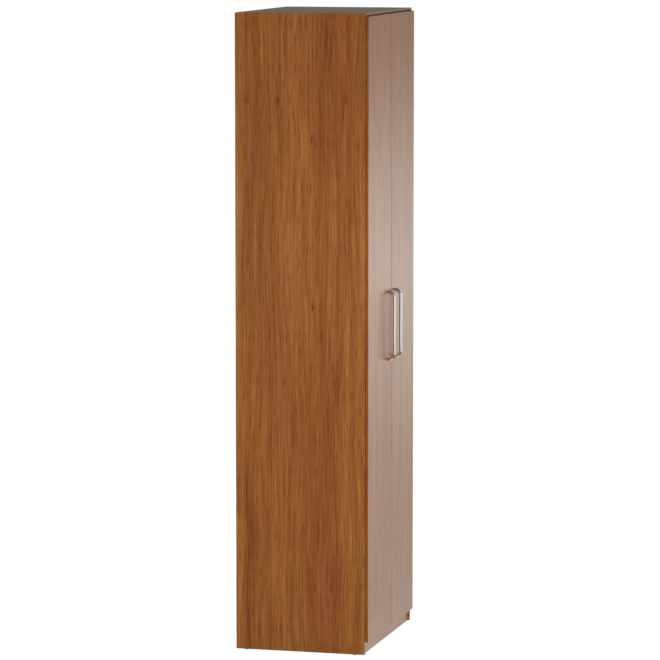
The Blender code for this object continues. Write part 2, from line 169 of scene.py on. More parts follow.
# %% [markdown]
# The boards carry a printed wood decor. An image would be the quick way to get one, but noise that is
# drawn out along the grain never repeats and stays sharp at any distance. A print is flat, so the
# decor needs only two coordinates: how far across the grain and how far along it. An upright board
# takes X + Y across, which runs on round its edges, and Z along. A lying board takes Y + Z and X.

# %% Coordinates on a board
SWAYS = ((6.0, 1.8, 0.026), (30.0, 6.0, 0.008))  # waves a metre across and along, reach in metres
NOISE_MIDDLE = 0.5


def board_axes(tree, lying):
    """Distances across and along the grain, in metres."""
    x, y, z = object_axes(tree)
    if lying:
        return maths(tree, "ADD", y, z), x
    return maths(tree, "ADD", x, y), z


def counted(tree, place, steps):
    """A place on the board, counted in a pattern's steps, so many a metre each way."""
    x, y = (maths(tree, "MULTIPLY", way, count) for way, count in zip(place, steps))
    return node(tree, "ShaderNodeCombineXYZ", {"X": x, "Y": y}).outputs["Vector"]


def flat_noise(tree, place, waves):
    """Noise on the board, with so many waves a metre across and along the grain."""
    sockets = {"Vector": counted(tree, place, waves), "Scale": 1.0, "Detail": 0.0}
    return node(tree, "ShaderNodeTexNoise", sockets, noise_dimensions="2D").outputs["Fac"]


def varied(tree, place, waves, reach, value):
    """A value with noise about it."""
    off_middle = maths(tree, "SUBTRACT", flat_noise(tree, place, waves), NOISE_MIDDLE)
    return maths(tree, "MULTIPLY_ADD", off_middle, reach, value)


def swayed(tree, place):
    """A place pushed about across the grain, so that the streaks run in waves."""
    across, along = place
    for *waves, reach in SWAYS:
        across = varied(tree, (across, along), waves, reach, across)
    return across, along


print("sways:", len(SWAYS))

# %% [markdown]
# Small eyes break the grain here and there. They could be placed by hand, but cells of a Voronoi
# texture scatter them: a few of the cells get an eye, and round its middle the grain is pushed aside,
# as it grows round a bud.

# %% Small eyes in the grain
EYE_CELLS = (7.0, 2.4)  # cells a metre across and along
EYE_SIZE = (0.009, 0.022)
EYE_SHARE = 0.35
EYE_PUSH = -0.8


def squared(tree, source):
    """A value times itself."""
    return maths(tree, "MULTIPLY", source, source)


def with_eyes(tree, place):
    """A place with the grain pushed aside by the eyes, and how near an eye's middle it is."""
    across, along = place
    sockets = {"Vector": counted(tree, place, EYE_CELLS), "Scale": 1.0}
    cells = node(tree, "ShaderNodeTexVoronoi", sockets, voronoi_dimensions="2D").outputs
    middle = node(tree, "ShaderNodeSeparateXYZ", {"Vector": cells["Position"]}).outputs
    off_across = maths(tree, "MULTIPLY_ADD", middle["X"], -1 / EYE_CELLS[0], across)
    off_along = maths(tree, "MULTIPLY_ADD", middle["Y"], -1 / EYE_CELLS[1], along)
    wide = squared(tree, maths(tree, "DIVIDE", off_across, EYE_SIZE[0]))
    long = squared(tree, maths(tree, "DIVIDE", off_along, EYE_SIZE[1]))
    near = maths(tree, "EXPONENT", maths(tree, "MULTIPLY", maths(tree, "ADD", wide, long), -1.0))
    chance = node(tree, "ShaderNodeSeparateColor", {"Color": cells["Color"]}).outputs
    chosen = maths(tree, "LESS_THAN", chance["Red"], EYE_SHARE)
    eye = maths(tree, "MULTIPLY", near, chosen)
    push = maths(tree, "MULTIPLY", maths(tree, "MULTIPLY", off_across, eye), EYE_PUSH)
    return (maths(tree, "ADD", across, push), along), eye


print("eyes in", EYE_SHARE, "of the cells")

# %% [markdown]
# The decor itself is one tone and one hue. The tone is noise in five sizes, from bands as wide as a
# hand down to single fibres, with thin dark lines where another noise crosses its middle, and a ramp
# turns it into colour. The hue leans to red or to gold. Short dark pores are laid over both. The side
# boards also have a figure of broad bands, as if two veneers met: it is told as distances from the
# back edge, with a tone and a share of gold for each.

# %% Broad bands, layers and lines
SIDE_FIGURE = (  # distance from the back edge in metres, tone, share of gold
    (0.000, 0.63, 0.80),
    (0.022, 0.58, 0.75),
    (0.045, 0.43, 0.30),
    (0.085, 0.49, 0.40),
    (0.150, 0.545, 0.55),
    (0.260, 0.555, 0.60),
    (0.315, 0.43, 0.35),
    (0.395, 0.455, 0.35),
    (0.430, 0.49, 0.50),
    (0.500, 0.485, 0.55),
)
BACK_EDGE = cad_high.y
BOARD_DEPTH = SIDE_FIGURE[-1][0]
LINES = (30.0, 0.9)  # waves a metre across and along the grain
LINE_PATCHES = (7.0, 1.1)
LINE_WIDTH = 0.05


def side_figure(tree, across):
    """Tone and gold of the side boards' broad bands; across is X + Y, so X comes off again."""
    y = maths(tree, "SUBTRACT", across, object_axes(tree)["X"])
    share = maths(tree, "DIVIDE", maths(tree, "SUBTRACT", BACK_EDGE, y), BOARD_DEPTH)
    stops = [(distance / BOARD_DEPTH, (tone, gold, 0)) for distance, tone, gold in SIDE_FIGURE]
    bands = node(tree, "ShaderNodeSeparateColor", {"Color": ramp(tree, share, *stops)}).outputs
    return bands["Red"], bands["Green"]


def layered(tree, place, value, layers):
    """Layers of noise about a middle value."""
    for *waves, contrast in layers:
        value = varied(tree, place, waves, contrast, value)
    return value


def grain_lines(tree, place):
    """1 on thin lines that run along the grain, patch by patch, and 0 between them."""
    off_middle = maths(tree, "SUBTRACT", flat_noise(tree, place, LINES), NOISE_MIDDLE)
    share = maths(tree, "DIVIDE", maths(tree, "ABSOLUTE", off_middle), LINE_WIDTH)
    line = maths(tree, "SUBTRACT", 1.0, maths(tree, "MINIMUM", share, 1.0))
    return maths(tree, "MULTIPLY", line, squared(tree, flat_noise(tree, place, LINE_PATCHES)))


print("side figure:", len(SIDE_FIGURE), "bands over", BOARD_DEPTH, "m")

# %% The wood decor
GRAIN_LAYERS = (  # waves a metre across and along the grain, contrast
    (10.0, 0.4, 0.115),
    (24.0, 0.9, 0.145),
    (55.0, 1.6, 0.185),
    (120.0, 2.8, 0.26),
    (260.0, 5.5, 0.34),
)
HUE_LAYERS = ((8.0, 0.5, 0.8), (60.0, 1.8, 0.60), (200.0, 5.0, 0.70))
LINE_DARKNESS = -0.22
EYE_DARKNESS = -0.22
PORES = (230.0, 18.0)
PORE_BAND = ((0.60, (1, 1, 1)), (0.72, (0.80, 0.75, 0.70)))
RED_BAND = (  # tone, colour
    (0.20, (0.164, 0.036, 0.006)),
    (0.50, (0.264, 0.0785, 0.019)),
    (0.80, (0.363, 0.129, 0.039)),
)
GOLD_BAND = (
    (0.20, (0.177, 0.050, 0.005)),
    (0.50, (0.286, 0.1085, 0.017)),
    (0.80, (0.390, 0.175, 0.038)),
)
EVEN_TONE = 0.5
EVEN_GOLD = 0.5
WOOD_IOR = 1.5
WOOD_ROUGHNESS = 0.38
ROUGHNESS_BY_TONE = -0.08
BUMP_STRENGTH = 0.04
BUMP_DEPTH = 0.0002


def wood_decor(name, lying=False, figured=False, depth=1.0, tone=EVEN_TONE):
    """Satin wood decor; figured boards have the broad bands, and depth is the grain's contrast."""
    made, tree, shader = new_finish(name, IOR=WOOD_IOR)
    place, eye = with_eyes(tree, swayed(tree, board_axes(tree, lying)))
    tone, gold = side_figure(tree, place[0]) if figured else (tone, EVEN_GOLD)
    grain = [(*waves, depth * contrast) for *waves, contrast in GRAIN_LAYERS]
    tone = layered(tree, place, tone, grain)
    tone = maths(tree, "MULTIPLY_ADD", grain_lines(tree, place), LINE_DARKNESS, tone)
    tone = maths(tree, "MULTIPLY_ADD", squared(tree, eye), EYE_DARKNESS, tone)
    gold = layered(tree, place, gold, HUE_LAYERS)
    colour = mixed(tree, gold, ramp(tree, tone, *RED_BAND), ramp(tree, tone, *GOLD_BAND))
    pores = ramp(tree, flat_noise(tree, place, PORES), *PORE_BAND)
    feed(tree, shader.inputs["Base Color"], mixed(tree, 1.0, colour, pores, "MULTIPLY"))
    roughness = maths(tree, "MULTIPLY_ADD", tone, ROUGHNESS_BY_TONE, WOOD_ROUGHNESS)
    feed(tree, shader.inputs["Roughness"], roughness)
    sockets = {"Height": tone, "Strength": BUMP_STRENGTH, "Distance": BUMP_DEPTH}
    feed(tree, shader.inputs["Normal"], node(tree, "ShaderNodeBump", sockets).outputs["Normal"])
    return made


side_wood = wood_decor("side_wood", figured=True)
door_wood = wood_decor("door_wood", depth=0.75)
lying_wood = wood_decor("lying_wood", lying=True)
# The edge band's low tone is painted shade, which darkens the door edges and the gap between the doors.
edge_band_and_shade = wood_decor("edge_band_and_shade", depth=0.4, tone=0.38)
inner_print = wood_decor("inner_print", depth=0.5, tone=0.47)
print("wood decor:", len(side_wood.node_tree.nodes), "nodes")

# %% [markdown]
# The other finishes are few: the back sheets are a soft brown outside, the handles and the rail are
# polished, the hinges and screws are nickel plated, and the glides are dark moulded plastic. None of
# them is quite even, so fine noise varies the brown, the plastic and the polish.

# %% Metal, sheet and plastic
SPECK_DETAIL = 3.0
SPECK_LOW = 0.3  # nearly all of the noise lies between these two
SPECK_HIGH = 0.7
METAL_SPECKS = 0.006


def speckled(tree, size, low, high):
    """Fine noise, spread between two values."""
    place = node(tree, "ShaderNodeTexCoord").outputs["Object"]
    sockets = {"Vector": place, "Scale": 1 / size, "Detail": SPECK_DETAIL}
    specks = node(tree, "ShaderNodeTexNoise", sockets).outputs["Fac"]
    spread = {"Value": specks, "From Min": SPECK_LOW, "From Max": SPECK_HIGH, "To Min": low, "To Max": high}
    return node(tree, "ShaderNodeMapRange", spread).outputs["Result"]


def metal(name, colour, smooth, rough):
    """Plated metal, a little uneven in its polish."""
    made, tree, shader = new_finish(name, Base_Color=(*colour, 1), Metallic=1.0)
    feed(tree, shader.inputs["Roughness"], speckled(tree, METAL_SPECKS, smooth, rough))
    return made


def speckled_colour(name, dark, light, size, roughness):
    """A plain colour with fine darker and lighter specks."""
    made, tree, shader = new_finish(name, Roughness=roughness)
    specks = speckled(tree, size, 0.0, 1.0)
    feed(tree, shader.inputs["Base Color"], ramp(tree, specks, (0.0, dark), (1.0, light)))
    return made


polished_steel = metal("polished_steel", (0.84, 0.78, 0.76), smooth=0.06, rough=0.11)
nickel_plate = metal("nickel_plate", (0.66, 0.64, 0.61), smooth=0.22, rough=0.34)
back_print = speckled_colour(
    "back_print", dark=(0.20, 0.095, 0.036), light=(0.27, 0.135, 0.055), size=0.004, roughness=0.55
)
dark_plastic = speckled_colour(
    "dark_plastic", dark=(0.018, 0.018, 0.019), light=(0.030, 0.030, 0.031), size=0.0015, roughness=0.48
)
print("finishes:", [m.name for m in bpy.data.materials])

# %% [markdown]
# Every board is a cube that is added at its size and place and then has its sharp edges eased, as
# a sanding block does it. The frame's boxes give the corners, so no size is written twice. Eased
# edges are shaded flat, because smooth shading would tilt the light on the whole board. Round pieces
# have many sides, and are shaded smooth.

# %% Helpers for pieces
ROUND_SIDES = 24


def only(thing):
    """Select one object and make it the active one."""
    clear_selection()
    thing.select_set(True)
    bpy.context.view_layer.objects.active = thing


def settle(name):
    """Name the active object, and put its place into its mesh."""
    made = bpy.context.active_object
    made.name = name
    made.data.name = name
    bpy.ops.object.transform_apply(location=True, rotation=True, scale=True)
    return made


def block(name, low, high):
    """A cube between two corners."""
    clear_selection()
    middle = (Vector(low) + Vector(high)) / 2
    bpy.ops.mesh.primitive_cube_add(size=1, location=middle, scale=Vector(high) - Vector(low))
    return settle(name)


def rod(name, start, end, radius, sides=ROUND_SIDES):
    """A cylinder from one point to another."""
    clear_selection()
    along = Vector(end) - Vector(start)
    turn = along.to_track_quat("Z", "Y").to_euler()
    middle = (Vector(start) + Vector(end)) / 2
    bpy.ops.mesh.primitive_cylinder_add(
        vertices=sides, radius=radius, depth=along.length, location=middle, rotation=turn
    )
    return settle(name)


print("piece helpers ready")

# %% Shaping and dressing a piece
ARRIS = 0.0006
ARRIS_STEPS = 2
EDGE_ANGLE = math.radians(35)
SMOOTH_ANGLE = math.radians(16)


def combine(thing, operation, *others):
    """Cut other shapes out of a piece, or unite them with it, and remove them."""
    for other in others:
        only(thing)
        step = thing.modifiers.new("combine", "BOOLEAN")
        step.operation = operation
        step.solver = "EXACT"
        step.object = other
        bpy.ops.object.modifier_apply(modifier=step.name)
        bpy.data.objects.remove(other)


def shade(thing, angle=SMOOTH_ANGLE):
    """Shade a piece smooth, apart from edges that turn by more than the angle."""
    only(thing)
    bpy.ops.object.shade_smooth_by_angle(angle=angle)


def ease(thing, width=ARRIS):
    """Round the sharp edges a little."""
    only(thing)
    step = thing.modifiers.new("ease", "BEVEL")
    step.width = width
    step.segments = ARRIS_STEPS
    step.limit_method = "ANGLE"
    step.angle_limit = EDGE_ANGLE
    bpy.ops.object.modifier_apply(modifier=step.name)
    shade(thing)
    return thing


def dress(thing, finish, body, slot, *nodes):
    """Give a piece its finish and its body, and let it stand for nodes of the frame."""
    thing.data.materials.clear()
    thing.data.materials.append(finish)
    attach(thing, body)
    if nodes:
        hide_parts(*nodes)


print("edges are eased by", ARRIS, "m")

# %% [markdown]
# The studio is a wide pale floor, white surroundings and two broad soft lamps. The main lamp stands at
# the front left, low and at 45 degrees, so it lights the left side and the doors alike, and the
# handles' soft shadows fall to the right on the doors. A weaker lamp opposite lights the back. For the
# camera and in mirrors the surroundings are white; the floor keeps a trace of the shadow.

# %% Surroundings
AMBIENT = 0.40
WHITE = (1, 1, 1, 1)


def put_out(tree, output, light, sight):
    """Send out one shader for the light itself, and another for what is seen or mirrored."""
    rays = node(tree, "ShaderNodeLightPath").outputs
    seen = maths(tree, "MAXIMUM", rays["Is Camera Ray"], rays["Is Glossy Ray"])
    seen = maths(tree, "MAXIMUM", seen, rays["Is Transmission Ray"])
    either = node(tree, "ShaderNodeMixShader", {0: seen, 1: light, 2: sight})
    feed(tree, tree.nodes[output].inputs["Surface"], either.outputs["Shader"])


surroundings = bpy.data.worlds.new("surroundings")
bpy.context.scene.world = surroundings
surroundings.use_nodes = True
tree = surroundings.node_tree
ambient = tree.nodes["Background"]
ambient.inputs["Strength"].default_value = AMBIENT
ambient.inputs["Color"].default_value = WHITE
backdrop = node(tree, "ShaderNodeBackground", {"Color": WHITE})
put_out(tree, "World Output", ambient.outputs["Background"], backdrop.outputs["Background"])
print("surroundings: ambient light", AMBIENT)

# %% Floor
FLOOR_SIZE = 120.0
FLOOR_GREY = (0.60, 0.60, 0.60, 1)
FLOOR_ROUGHNESS = 0.9
FLOOR_GLOW = 0.955
SHADOW_GREY = (0.14, 0.14, 0.14, 1)  # what the lamps add to the glow, outside the shadow

clear_selection()
bpy.ops.mesh.primitive_plane_add(size=FLOOR_SIZE)
floor = bpy.context.active_object
floor.name = "floor"
pale_floor, tree, shader = new_finish(
    "pale_floor", Base_Color=FLOOR_GREY, Roughness=FLOOR_ROUGHNESS, Specular_IOR_Level=0.0
)
faint = node(tree, "ShaderNodeBsdfDiffuse", {"Color": SHADOW_GREY})
glow = node(tree, "ShaderNodeEmission", {"Strength": FLOOR_GLOW})
bright = node(tree, "ShaderNodeAddShader", {0: faint.outputs["BSDF"], 1: glow.outputs["Emission"]})
put_out(tree, "Material Output", shader.outputs["BSDF"], bright.outputs["Shader"])
floor.data.materials.append(pale_floor)
floor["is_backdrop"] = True
print("floor:", FLOOR_SIZE, "m wide")

# %% Lamps
LAMPS = (("front_lamp", -1, 125.0), ("back_lamp", 1, 55.0))  # name, way from the middle, watts
LAMP_OUT = 3.54
LAMP_RISE = 1.1
LAMP_WIDTH = 5.0
LAMP_HEIGHT = 1.8
LAMP_SPREAD = math.radians(120)

for name, way, power in LAMPS:
    clear_selection()
    place = Vector((way * LAMP_OUT, way * LAMP_OUT, LAMP_RISE))
    turn = (Vector((0, 0, LAMP_RISE)) - place).to_track_quat("-Z", "Y").to_euler()
    bpy.ops.object.light_add(type="AREA", location=place, rotation=turn)
    lamp = bpy.context.active_object
    lamp.name = name
    lamp.data.shape = "RECTANGLE"
    lamp.data.size = LAMP_WIDTH
    lamp.data.size_y = LAMP_HEIGHT
    lamp.data.spread = LAMP_SPREAD
    lamp.data.energy = power
    lamp.visible_glossy = False
    print(name, power, "W")

# %% [markdown]
# Satin boards mirror whatever stands beside them. A photographer puts cards there: a bright soft
# card at the right, which the slanting doors mirror, and dim flags where a sheen would wash out the
# wood. An upright card ends at the floor, so a mat lies in front of it. These cards show in
# reflections only, and the doors' card glows most at chest height.

# %% Cards
CARD_THICKNESS = 0.001
CARD_TOP = 3.4
MAT_RISE = 0.001
MAT_ROOM = 0.002  # between a mat and the side board
DOOR_CARD_X = 0.9
SIDE_FLAG_X = -1.0
FRONT_FLAG_Y = -4.0
COOL = (0.84, 0.98, 1.0)
PLAIN = (1.0, 1.0, 1.0)
GREENISH = (0.86, 1.0, 0.92)
DOOR_GLOW = (  # height in metres, strength
    (0.0, 1.06), (0.26, 0.96), (0.60, 1.02), (0.89, 1.30), (1.32, 1.75),
    (1.68, 1.36), (2.02, 0.84), (2.27, 0.57), (CARD_TOP, 0.47),
)
SIDE_GLOW = ((0.0, 0.08), (0.5, 0.1), (0.9, 0.18), (1.35, 0.26), (1.9, 0.14), (2.4, 0.05), (CARD_TOP, 0.05))


def even(strength):
    """The same glow at every height."""
    return (0.0, strength), (CARD_TOP, strength)


def card(name, low, high, tint, glow):
    """A thin card that only reflections see; glow is (height, strength) stops."""
    made = block(name, low, Vector(high) + Vector((CARD_THICKNESS,) * 3))
    finish, tree, shader = new_finish(name)
    tree.nodes.remove(shader)
    share = maths(tree, "DIVIDE", object_axes(tree)["Z"], CARD_TOP)
    brightest = max(strength for _, strength in glow)
    stops = []
    for height, strength in glow:
        stops.append((height / CARD_TOP, [strength / brightest * part for part in tint]))
    shine = node(tree, "ShaderNodeEmission", {"Color": ramp(tree, share, *stops), "Strength": brightest})
    feed(tree, tree.nodes["Material Output"].inputs["Surface"], shine.outputs["Emission"])
    made.data.materials.append(finish)
    for rays in ("camera", "diffuse", "shadow", "transmission"):
        setattr(made, f"visible_{rays}", False)
    made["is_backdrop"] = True


card("door_card", (DOOR_CARD_X, -1.6, 0), (DOOR_CARD_X, -0.15, CARD_TOP), COOL, DOOR_GLOW)
card("door_mat", (-0.45, -0.6, MAT_RISE), (DOOR_CARD_X, -0.2, MAT_RISE), COOL, even(1.1))
card("side_flag", (SIDE_FLAG_X, -0.25, 0), (SIDE_FLAG_X, 2.0, CARD_TOP), PLAIN, SIDE_GLOW)
card("side_mat", (SIDE_FLAG_X, -0.4, MAT_RISE), (cad_low.x - MAT_ROOM, 2.0, MAT_RISE), PLAIN, even(0.1))
card("top_flag", (2.6, 0.3, 1.0), (2.6, 3.3, CARD_TOP), GREENISH, even(0.42))
card("roof_flag", (-8.0, -8.0, CARD_TOP), (6.0, 6.0, CARD_TOP), PLAIN, even(0.06))
card("front_flag", (-0.8, FRONT_FLAG_Y, 0), (4.0, FRONT_FLAG_Y, CARD_TOP), PLAIN, even(0.30))
card("front_mat", (-8.0, FRONT_FLAG_Y, MAT_RISE), (4.0, -0.6, MAT_RISE), PLAIN, even(0.1))

# %% [markdown]
# The carcass: two side boards that stand on the floor, with the top board, the bottom board and the
# plinth between them. The rebate for the back sheets is cut to the sheets' own size, and so are the
# holes for the shelf pins and the glides. The top board's front edge is cut back below a thin lip,
# which leaves the dark line above the doors. The back sheets are plain outside, and their inner faces
# get a calm print of the wood as a second finish.

# %% Side boards
ROOM = 0.0003
PAST = 1.0  # how far a cutter runs on past a board
SHELF_PIN_RADIUS = 0.0025
GLIDE_PIN_RADIUS = 0.0015
ROWS = ("front", "rear")


def box_middle(node_name):
    """The middle of a node's box."""
    low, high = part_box(node_name)
    return (low + high) / 2


sheet_low, sheet_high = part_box("back_panel_upper")
for side in SIDES:
    low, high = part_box(f"{side}_side_panel")
    board = block(f"{side}_side_board", low, high)
    rebate_low = (sheet_low.x - ROOM, sheet_low.y - ROOM, -PAST)
    rebate_high = (sheet_high.x + ROOM, sheet_high.y + PAST, high.z + PAST)
    cutters = [block("rebate", rebate_low, rebate_high)]
    for row in ROWS:
        pin_low, pin_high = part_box(f"{side}_{row}_shelf_pin")
        pin = box_middle(f"{side}_{row}_shelf_pin")
        start = (pin_low.x - ROOM, pin.y, pin.z)
        end = (pin_high.x + ROOM, pin.y, pin.z)
        cutters.append(rod("pin_hole", start, end, SHELF_PIN_RADIUS + ROOM))
        glide = box_middle(f"{side}_{row}_glide")
        glide_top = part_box(f"{side}_{row}_glide")[1].z + ROOM
        start, end = (glide.x, glide.y, -PAST), (glide.x, glide.y, glide_top)
        cutters.append(rod("glide_hole", start, end, GLIDE_PIN_RADIUS + ROOM))
    combine(board, "DIFFERENCE", *cutters)
    ease(board)
    dress(board, side_wood, "carcass", "wood_board", f"{side}_side_panel")
    print(board.name, len(board.data.polygons), "faces")

# %% Boards between the sides
TOP_LIP = 0.0072
TOP_SHADOW_DEPTH = 0.009
PLAIN_BOARDS = {"bottom_board": "bottom_panel", "plinth_board": "plinth", "shelf_board": "hat_shelf"}

low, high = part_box("top_panel")
top_board = block("top_board", low, high)
shadow_low = (low.x - PAST, low.y - PAST, low.z - PAST)
shadow_high = (high.x + PAST, low.y + TOP_SHADOW_DEPTH, high.z - TOP_LIP)
combine(top_board, "DIFFERENCE", block("shadow_gap", shadow_low, shadow_high))
ease(top_board)
dress(top_board, lying_wood, "carcass", "wood_board", "top_panel")
for name, cad in PLAIN_BOARDS.items():
    board = ease(block(name, *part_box(cad)))
    dress(board, lying_wood, "carcass", "wood_board", cad)
print("between the sides:", top_board.name, *PLAIN_BOARDS)

# %% Back sheets
BACK_PARTS = ("lower", "upper")
INNER_FACE = -0.5  # faces whose normal has less Y than this look into the wardrobe

for part in BACK_PARTS:
    sheet = ease(block(f"back_sheet_{part}", *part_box(f"back_panel_{part}")), ARRIS / 2)
    dress(sheet, back_print, "carcass", "back_sheet", f"back_panel_{part}")
    sheet.data.materials.append(inner_print)
    for face in sheet.data.polygons:
        face.material_index = int(face.normal.y < INNER_FACE)
    print(sheet.name, len(sheet.data.polygons), "faces")

# %% [markdown]
# Each door is one board with blind holes for the hinge cups and two small holes for the handle's
# screws, cut with cylinders where the frame has its cups and screws. The narrow faces carry an edge
# band, a second finish in a calmer decor whose low tone is painted shade: it darkens the door edges
# and the gap between the doors. The edges are eased less than on other boards, so that the gap
# between the doors stays a fine dark line.

# %% Doors
DOOR_ARRIS = 0.00025
CUP_RADIUS = 0.0175
CUP_SIDES = 48
SCREW_RADIUS = 0.002
HOLE_RUN = 0.05
HOLE_LEAD = 0.01  # how far in front of the door a through hole starts
HINGES = range(1, 5)  # their numbers on a door
ENDS = ("upper", "lower")
EDGE_FACE = 0.8  # faces whose normal has less Y than this belong to the edge band


def hole_from(place, start_y, radius, sides=ROUND_SIDES):
    """A cutter along Y that starts at a depth and runs out past the door's back."""
    start, end = (place.x, start_y, place.z), (place.x, start_y + HOLE_RUN, place.z)
    return rod("hole", start, end, radius + ROOM, sides)


for side in SIDES:
    low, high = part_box(f"{side}_door")
    leaf = ease(block(f"{side}_door_leaf", low, high), DOOR_ARRIS)
    cutters = []
    for number in HINGES:
        cup = f"{side}_hinge_cup_{number}"
        floor_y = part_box(cup)[0].y - ROOM
        pot = Vector((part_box(cup)[0].x + CUP_RADIUS, 0, box_middle(cup).z))
        cutters.append(hole_from(pot, floor_y, CUP_RADIUS, CUP_SIDES))
    for end in ENDS:
        cutters.append(hole_from(box_middle(f"{side}_handle_screw_{end}"), low.y - HOLE_LEAD, SCREW_RADIUS))
    combine(leaf, "DIFFERENCE", *cutters)
    shade(leaf)
    dress(leaf, door_wood, f"{side}_leaf", "wood_board", f"{side}_door")
    # The narrow faces get the edge band, whose low tone is painted shade.
    leaf.data.materials.append(edge_band_and_shade)
    for face in leaf.data.polygons:
        face.material_index = int(abs(face.normal.y) < EDGE_FACE)
    print(leaf.name, len(leaf.data.polygons), "faces")

# %% [markdown]
# The handles are round rod, bent at both ends. A curve with a bevel would make one too; here a disc is
# drawn out of the door as a bender does it: a short straight foot, a spin through a quarter turn, the
# long grip, another quarter turn and the second foot.

# %% Handles
BEND_RADIUS = 0.020
BEND_STEPS = 16
ROD_SIDES = 40
FOOT_ARRIS = 0.0004


def edit_all():
    """Go into edit mode with the whole mesh selected."""
    bpy.ops.object.mode_set(mode="EDIT")
    bpy.ops.mesh.select_all(action="SELECT")


def leave_edit():
    """Leave edit mode with all faces pointing out."""
    bpy.ops.mesh.select_all(action="SELECT")
    bpy.ops.mesh.normals_make_consistent(inside=False)
    bpy.ops.object.mode_set(mode="OBJECT")


def drawn_out(*way):
    """Draw the selected face out along a vector."""
    bpy.ops.mesh.extrude_region_move(TRANSFORM_OT_translate={"value": way})


def bent(*centre):
    """Turn the selected face through a quarter turn, about an axis along X."""
    bpy.ops.mesh.spin(steps=BEND_STEPS, angle=math.pi / 2, center=centre, axis=(-1, 0, 0))


for side in SIDES:
    low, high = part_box(f"{side}_handle")
    radius = (high.x - low.x) / 2
    x = (high.x + low.x) / 2
    top, bottom = high.z - radius, low.z + radius
    bend_y = low.y + radius + BEND_RADIUS
    foot = bend_y - high.y
    clear_selection()
    start, turn = (x, high.y, top), (math.pi / 2, 0, 0)
    bpy.ops.mesh.primitive_circle_add(
        vertices=ROD_SIDES, radius=radius, fill_type="NGON", location=start, rotation=turn
    )
    edit_all()
    drawn_out(0, foot, 0)
    bent(x, bend_y, top - BEND_RADIUS)
    drawn_out(0, 0, bottom - top + 2 * BEND_RADIUS)
    bent(x, bend_y, bottom + BEND_RADIUS)
    drawn_out(0, -foot, 0)
    leave_edit()
    bow = settle(f"{side}_handle_bow")
    ease(bow, FOOT_ARRIS)
    for end in ENDS:
        cad = f"{side}_handle_screw_{end}"
        combine(bow, "DIFFERENCE", hole_from(box_middle(cad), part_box(cad)[0].y - ROOM, SCREW_RADIUS))
    shade(bow)
    dress(bow, polished_steel, f"{side}_leaf", "polished_steel", f"{side}_handle")
    print(bow.name, len(bow.data.polygons), "faces")

# %% [markdown]
# The small fittings are turned on a lathe or pressed from flat sheet, so two helpers make them all.
# Both start alike: a plane is merged into one point, and the point is drawn out along a line. Spun
# through a full turn, the line gives a turned piece; filled and drawn out, it gives a flat one. Each
# fitting is made once as a pattern, and a copy with a mesh of its own goes to each place.

# %% Turned and pressed fittings
TURN_SIDES = 32
CORNER_STEPS = 6
SLIVER = 0.00003
SAME_POINT = 0.000001
SEED_SIZE = 0.001  # of the plane that is merged into a point


def smoothed(thing):
    """Clear away the slivers that cutting leaves, and shade the piece smooth."""
    only(thing)
    edit_all()
    bpy.ops.mesh.remove_doubles(threshold=SLIVER)
    bpy.ops.mesh.dissolve_degenerate(threshold=SLIVER)
    leave_edit()
    shade(thing, EDGE_ANGLE)
    return thing


def line_through(points):
    """In edit mode, one line of edges through the points, all of it selected."""
    clear_selection()
    bpy.ops.mesh.primitive_plane_add(size=SEED_SIZE, location=points[0])
    edit_all()
    bpy.ops.mesh.merge(type="CENTER")
    for here, there in zip(points, points[1:]):
        way = Vector(there) - Vector(here)
        bpy.ops.mesh.extrude_vertices_move(TRANSFORM_OT_translate={"value": way})
    bpy.ops.mesh.select_all(action="SELECT")


def close_up(name):
    """Leave edit mode with one closed mesh whose faces point out."""
    bpy.ops.mesh.select_all(action="SELECT")
    bpy.ops.mesh.remove_doubles(threshold=SAME_POINT)
    leave_edit()
    return smoothed(settle(name))


def turned(name, profile, sides=TURN_SIDES):
    """A piece turned about Z from (radius, height) points."""
    line_through([(radius, 0, height) for radius, height in profile])
    bpy.ops.mesh.spin(steps=sides, angle=2 * math.pi, center=(0, 0, 0), axis=(0, 0, 1))
    return close_up(name)


def pressed(name, outline, way):
    """A flat outline of 3-D points, filled and drawn out along a vector."""
    line_through(outline)
    bpy.ops.mesh.edge_face_add()
    drawn_out(*way)
    return close_up(name)


def rounded(half_width, half_length, corner):
    """Points round a plate with rounded corners."""
    points = []
    for number, (x, y) in enumerate(((1, 1), (-1, 1), (-1, -1), (1, -1))):
        for step in range(CORNER_STEPS + 1):
            angle = math.pi / 2 * (number + step / CORNER_STEPS)
            across = x * (half_width - corner) + corner * math.cos(angle)
            points.append((across, y * (half_length - corner) + corner * math.sin(angle)))
    return points


print("turned fittings have", TURN_SIDES, "sides")

# %% Copies of a pattern
UNTURNED = (0, 0, 0)
OUT_X = (0, math.pi / 2, 0)  # turns a piece that stands up along Z so that it points along +X
OUT_Y = (-math.pi / 2, 0, 0)  # and along +Y


def moved(thing, place, turn=UNTURNED):
    """Turn a piece about the origin and move it, in its mesh."""
    only(thing)
    thing.rotation_euler = turn
    thing.location = place
    return settle(thing.name)


def copied(pattern, name, place, turn=UNTURNED):
    """A copy of a pattern with a mesh of its own, turned and moved to its place."""
    only(pattern)
    bpy.ops.object.duplicate()
    return moved(settle(name), place, turn)


print("copy helpers ready")

# %% [markdown]
# Screws come next, since most fittings carry some. A head is a low dome with a cross recess, which two
# blocks cut. On the hinges and holders only the heads are made, because nobody sees the threads; the
# handle's screws have a plain shank.

# %% Screws
SINK = 0.0001  # how far joined shapes run into each other
HEAD_DOME = ((0, 1), (0.45, 0.96), (0.75, 0.80), (0.93, 0.50), (1, 0.15), (1, 0))  # of radius and height
CROSS_REACH = 0.60  # of the head's radius
CROSS_NARROW = 0.13
CROSS_DEPTH = 0.45  # of the head's height
HANDLE_SCREW_HEAD = (0.004, 0.0024)  # radius, height
HANDLE_SCREW_TIP = 0.0016


